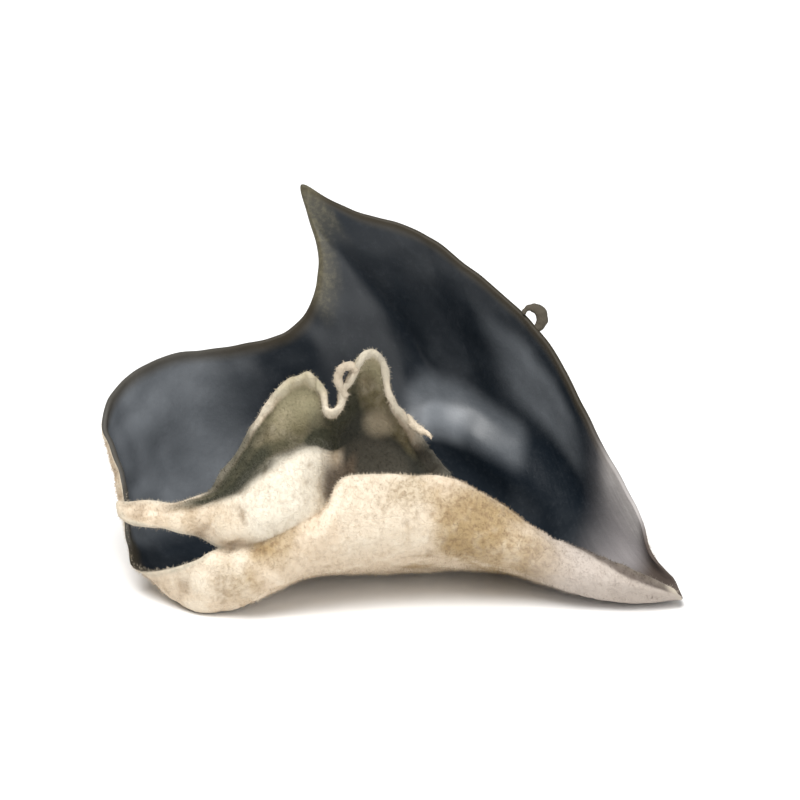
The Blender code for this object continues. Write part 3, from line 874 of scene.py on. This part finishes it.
def hair_tree():
    """Hairs scattered over a piece by its fact hairy, each leaning its own way."""
    tree = bpy.data.node_groups.new("down_hairs", "GeometryNodeTree")
    kinds = {"Geometry": "Geometry", "Seed": "Int", "Material": "Material"}
    kinds.update(dict.fromkeys(("Hairs per area", "Length", "Width", "Smallest", "Largest", "Tilt"), "Float"))
    for name, kind in kinds.items():
        tree.interface.new_socket(name=name, in_out="INPUT", socket_type="NodeSocket" + kind)
    tree.interface.new_socket(name="Geometry", in_out="OUTPUT", socket_type="NodeSocketGeometry")
    group = tree.nodes.new("NodeGroupInput")
    start = Socket(tree)
    given = {socket.name: Socket(tree, socket) for socket in group.outputs if socket.name}
    hairy = start.add("GeometryNodeInputNamedAttribute", {"data_type": "FLOAT"}, {"Name": "hairy"})
    points = start.add("GeometryNodeDistributePointsOnFaces", {}, {
        "Mesh": given["Geometry"], "Density": given["Hairs per area"] * hairy, "Seed": given["Seed"]})
    facing = Socket(tree, points.socket.node.outputs["Rotation"])
    hair = start.add("GeometryNodeMeshCone", {"fill_type": "NONE"}, {
        "Vertices": 3, "Radius Top": 0.0, "Radius Bottom": given["Width"] * 0.5, "Depth": given["Length"]})
    tilt = given["Tilt"]
    least = start.add("ShaderNodeCombineXYZ", {}, {0: -1 * tilt, 1: -1 * tilt, 2: 0.0})
    most = start.add("ShaderNodeCombineXYZ", {}, {0: tilt, 1: tilt, 2: 2 * math.pi})
    lean = start.add("FunctionNodeRandomValue", {"data_type": "FLOAT_VECTOR"}, {
        0: least, 1: most, "Seed": given["Seed"]})
    turned = start.add("FunctionNodeRotateRotation", {"rotation_space": "LOCAL"}, {
        0: facing, 1: start.add("FunctionNodeEulerToRotation", {}, {0: lean})})
    size = start.add("FunctionNodeRandomValue", {"data_type": "FLOAT"}, {
        2: given["Smallest"], 3: given["Largest"], "Seed": given["Seed"]}, output=1)
    hairs = start.add("GeometryNodeInstanceOnPoints", {}, {
        "Points": points, "Instance": hair, "Rotation": turned, "Scale": size})
    hairs = start.add("GeometryNodeRealizeInstances", {}, {"Geometry": hairs})
    hairs = start.add("GeometryNodeSetMaterial", {}, {"Geometry": hairs, "Material": given["Material"]})
    start.add("NodeGroupOutput", {}, {"Geometry": hairs})
    return tree


def make_down():
    """The hairs on a copy of the tissue, as a plain mesh of their own."""
    carrier = add_object("down_carrier", wood_ear.data.copy())
    modifier = carrier.modifiers.new("down", "NODES")
    modifier.node_group = hair_tree()
    values = {"Hairs per area": HAIRS_PER_SQUARE_MM / MM**2, "Length": HAIR_LENGTH, "Width": HAIR_WIDTH,
              "Smallest": HAIR_SIZES[0], "Largest": HAIR_SIZES[1], "Tilt": HAIR_TILT, "Seed": HAIR_SEED,
              "Material": ear_down()}
    for item in modifier.node_group.interface.items_tree:
        if item.in_out == "INPUT" and item.name in values:
            modifier[item.identifier] = values[item.name]
    bpy.context.view_layer.update()
    evaluated = carrier.evaluated_get(bpy.context.evaluated_depsgraph_get())
    mesh = bpy.data.meshes.new_from_object(evaluated)
    mesh.name = "down"
    bpy.data.objects.remove(carrier)
    return add_object("down", mesh)


down = make_down()
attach(down, "root")

# ---------------------------------------------------------------------------------------------------------
# The table, the lights and the camera. The ear lies on a white table under a large soft light from above, a
# little to the left, and a weaker one from the right. The camera looks down at it by 20 degrees.

TABLE_SIZE = 6.0
TABLE_WHITE = (0.88, 0.88, 0.88)
LIGHT_DISTANCE = 1.2
LIGHT_SIZE = 0.9
LIGHT_COLOUR = (1.0, 0.99, 0.975)
SKY_COLOUR = (0.96, 0.98, 1.0)
SKY_STRENGTH = 0.35
CAMERA_ELEVATION = math.radians(20)
CAMERA_DISTANCE = 0.66
VIEW_WIDTH = 0.0688
VIEW_MIDDLE = Vector((0.0008, 0, 0.01455))
SENSOR_WIDTH = 36.0


def make_table():
    """A plain matt white table top, which isn't part of the ear."""
    half = TABLE_SIZE / 2
    corners = [(-half, -half, 0), (half, -half, 0), (half, half, 0), (-half, half, 0)]
    mesh = bpy.data.meshes.new("table")
    mesh.from_pydata(corners, [], [(0, 1, 2, 3)])
    material = bpy.data.materials.new("white_table")
    material.use_nodes = True
    shader = material.node_tree.nodes["Principled BSDF"]
    shader.inputs["Base Color"].default_value = (*TABLE_WHITE, 1)
    shader.inputs["Roughness"].default_value = 0.9
    shader.inputs["Specular IOR Level"].default_value = 0.1
    mesh.materials.append(material)
    table = add_object("table", mesh)


def make_light(name, azimuth, elevation, power):
    """A soft square light in a direction from the ear, aimed at it and unseen itself."""
    data = bpy.data.lights.new(name, "AREA")
    data.shape = "SQUARE"
    data.size = LIGHT_SIZE
    data.energy = power
    data.color = LIGHT_COLOUR
    light = add_object(name, data)
    azimuth, elevation = math.radians(azimuth), math.radians(elevation)
    direction = Vector((math.sin(azimuth) * math.cos(elevation), -math.cos(azimuth) * math.cos(elevation),
                        math.sin(elevation)))
    light.location = direction * LIGHT_DISTANCE
    light.rotation_euler = direction.to_track_quat("Z", "Y").to_euler()
    light.visible_camera = False


make_table()
make_light("key_light", azimuth=-30, elevation=70, power=21)
make_light("fill_light", azimuth=32, elevation=25, power=5)
world = bpy.data.worlds.new("studio")
world.use_nodes = True
world.node_tree.nodes["Background"].inputs["Color"].default_value = (*SKY_COLOUR, 1)
world.node_tree.nodes["Background"].inputs["Strength"].default_value = SKY_STRENGTH
bpy.context.scene.world = world
bpy.context.scene.view_settings.view_transform = "Standard"

camera_data = bpy.data.cameras.new("camera")
camera_data.sensor_width = SENSOR_WIDTH
camera_data.lens = SENSOR_WIDTH * CAMERA_DISTANCE / VIEW_WIDTH
camera_data.clip_start = 0.01
camera = add_object("camera", camera_data)
to_camera = Vector((0, -math.cos(CAMERA_ELEVATION), math.sin(CAMERA_ELEVATION)))
camera.location = VIEW_MIDDLE + to_camera * CAMERA_DISTANCE
camera.rotation_euler = (math.pi / 2 - CAMERA_ELEVATION, 0, 0)
bpy.context.scene.camera = camera
